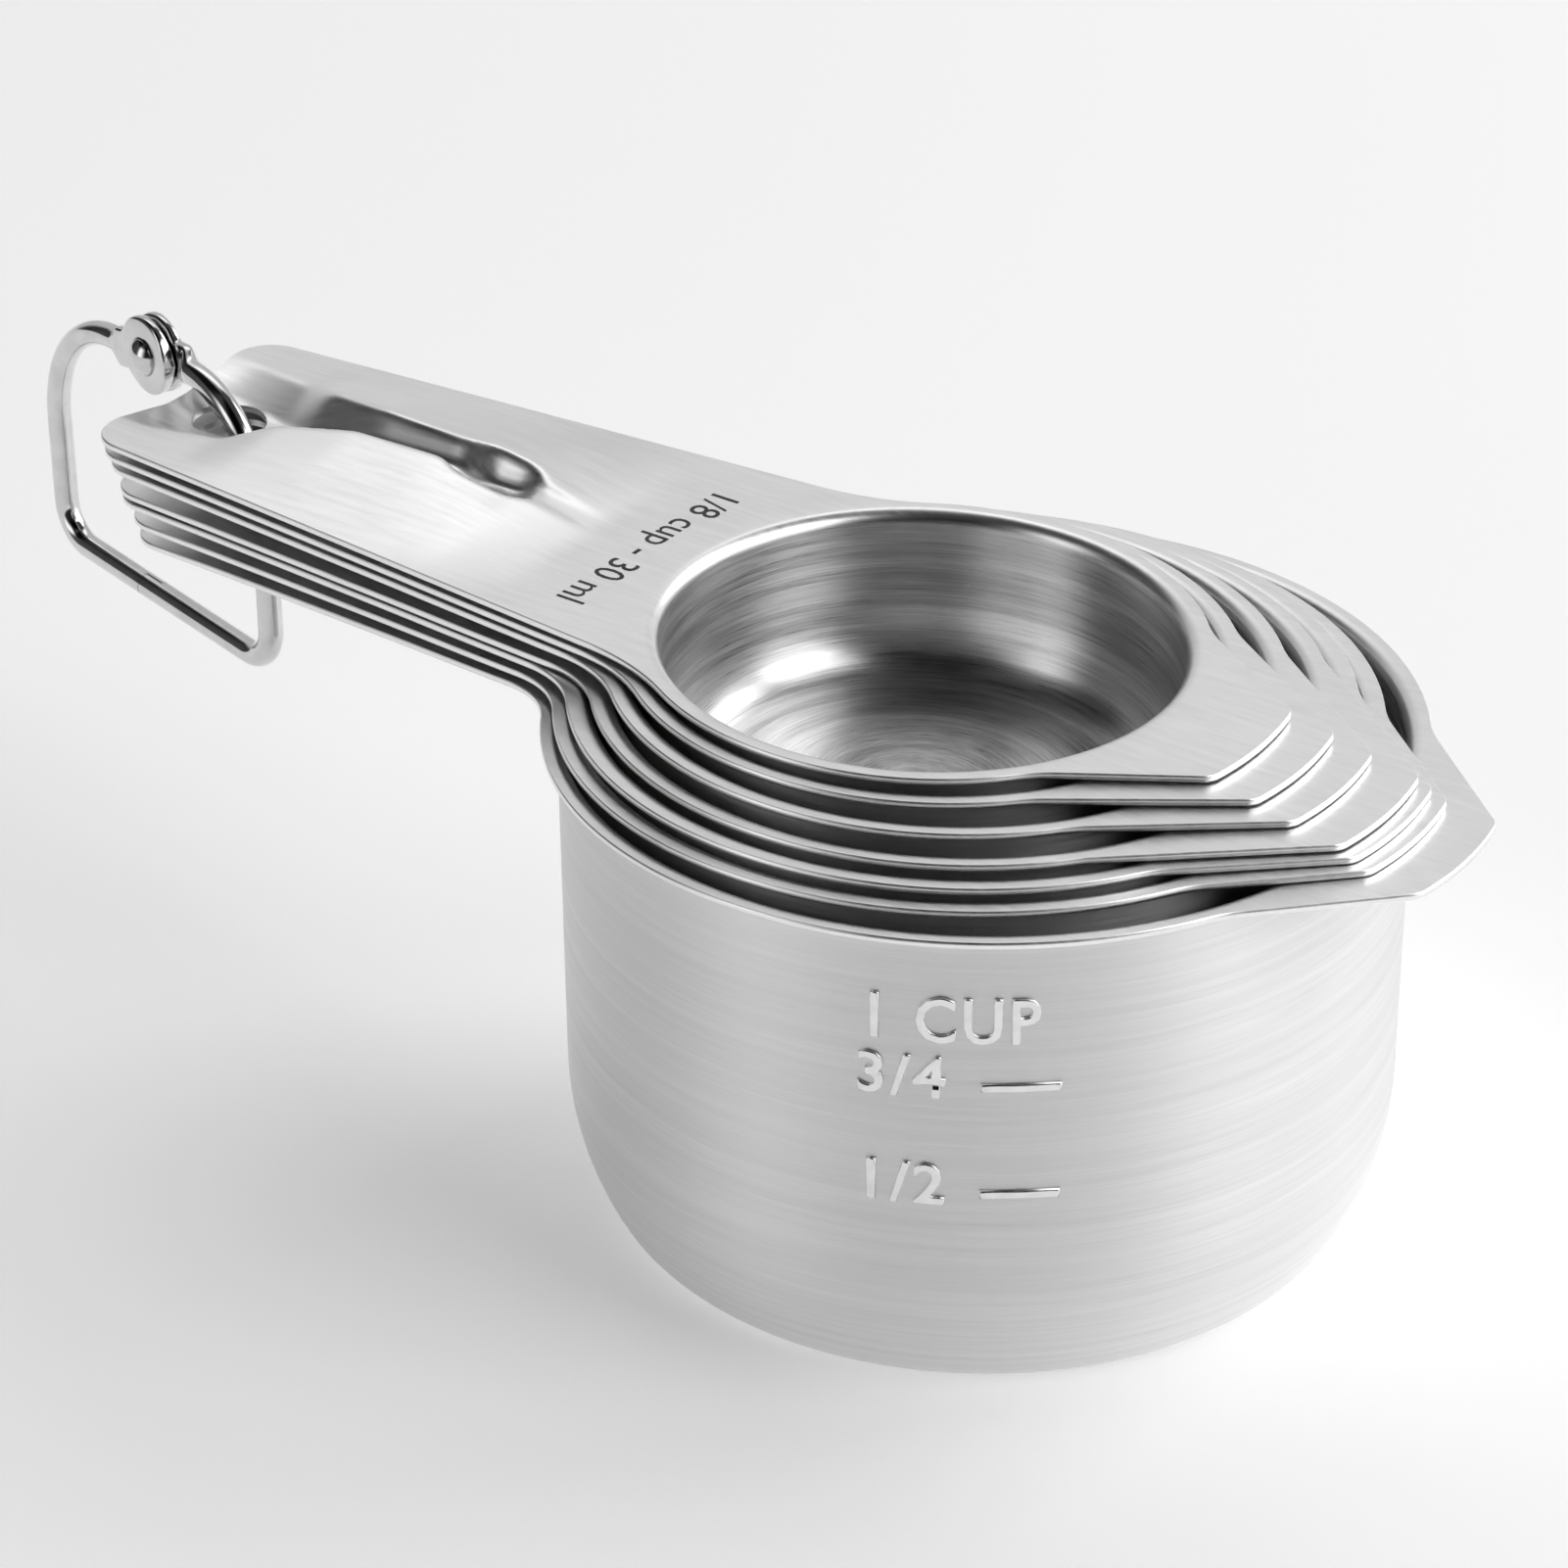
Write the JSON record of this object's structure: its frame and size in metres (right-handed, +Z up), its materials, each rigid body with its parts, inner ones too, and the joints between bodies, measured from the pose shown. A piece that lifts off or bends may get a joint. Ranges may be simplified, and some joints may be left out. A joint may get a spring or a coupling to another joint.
{
  "type": "measuring cup set",
  "caption": "Nested steel measuring cups with pouring spouts and grooved handles, held at the handle tips by a hinged wire ring.",
  "frame": {"origin": "centre of the largest cup's flat base, on the table", "axes": "+X from the handles towards the pouring spouts, +Z up, -Y the side towards the viewer"},
  "size_m": [0.1831, 0.0868, 0.0684],
  "materials": {
    "cup_steel": "satin, brushed round the bowls",
    "ring_steel": "polished"
  },
  "bodies": {
    "cup_one": {"cup_one": "cup_steel"},
    "cup_three_quarter": {"cup_three_quarter": "cup_steel"},
    "cup_two_thirds": {"cup_two_thirds": "cup_steel"},
    "cup_half": {"cup_half": "cup_steel"},
    "cup_third": {"cup_third": "cup_steel"},
    "cup_quarter": {"cup_quarter": "cup_steel"},
    "cup_eighth": {"cup_eighth": "cup_steel"},
    "ring": {"ring_body": "ring_steel", "hinge_rivet": "ring_steel", "rivet_washer": "ring_steel"},
    "gate": {"ring_gate": "ring_steel"}
  },
  "joints": [
    {"name": "lift_three_quarter", "type": "hinge", "parent": "cup_one", "child": "cup_three_quarter", "pos_m": [-0.09, 0, 0.05284], "axis": [0, -1, 0], "range_deg": [0, 6]},
    {"name": "lift_two_thirds", "type": "hinge", "parent": "cup_three_quarter", "child": "cup_two_thirds", "pos_m": [-0.0906, 0, 0.05489], "axis": [0, -1, 0], "range_deg": [0, 3]},
    {"name": "lift_half", "type": "hinge", "parent": "cup_two_thirds", "child": "cup_half", "pos_m": [-0.091, 0, 0.05589], "axis": [0, -1, 0], "range_deg": [0, 2]},
    {"name": "lift_third", "type": "hinge", "parent": "cup_half", "child": "cup_third", "pos_m": [-0.0924, 0, 0.05836], "axis": [0, -1, 0], "range_deg": [0, 7]},
    {"name": "lift_quarter", "type": "hinge", "parent": "cup_third", "child": "cup_quarter", "pos_m": [-0.0931, 0, 0.05967], "axis": [0, -1, 0], "range_deg": [0, 4]},
    {"name": "lift_eighth", "type": "hinge", "parent": "cup_quarter", "child": "cup_eighth", "pos_m": [-0.0939, 0, 0.06108], "axis": [0, -1, 0], "range_deg": [0, 4]},
    {"name": "ring_swing", "type": "hinge", "parent": "cup_half", "child": "ring", "pos_m": [-0.0915, -0.0003, 0.05], "axis": [0, 0, 1], "range_deg": [0, 5]},
    {"name": "gate_open", "type": "hinge", "parent": "ring", "child": "gate", "pos_m": [-0.10846, 0.00503, 0.064], "axis": [0.309, 0.9511, 0], "range_deg": [0, 80]}
  ]
}
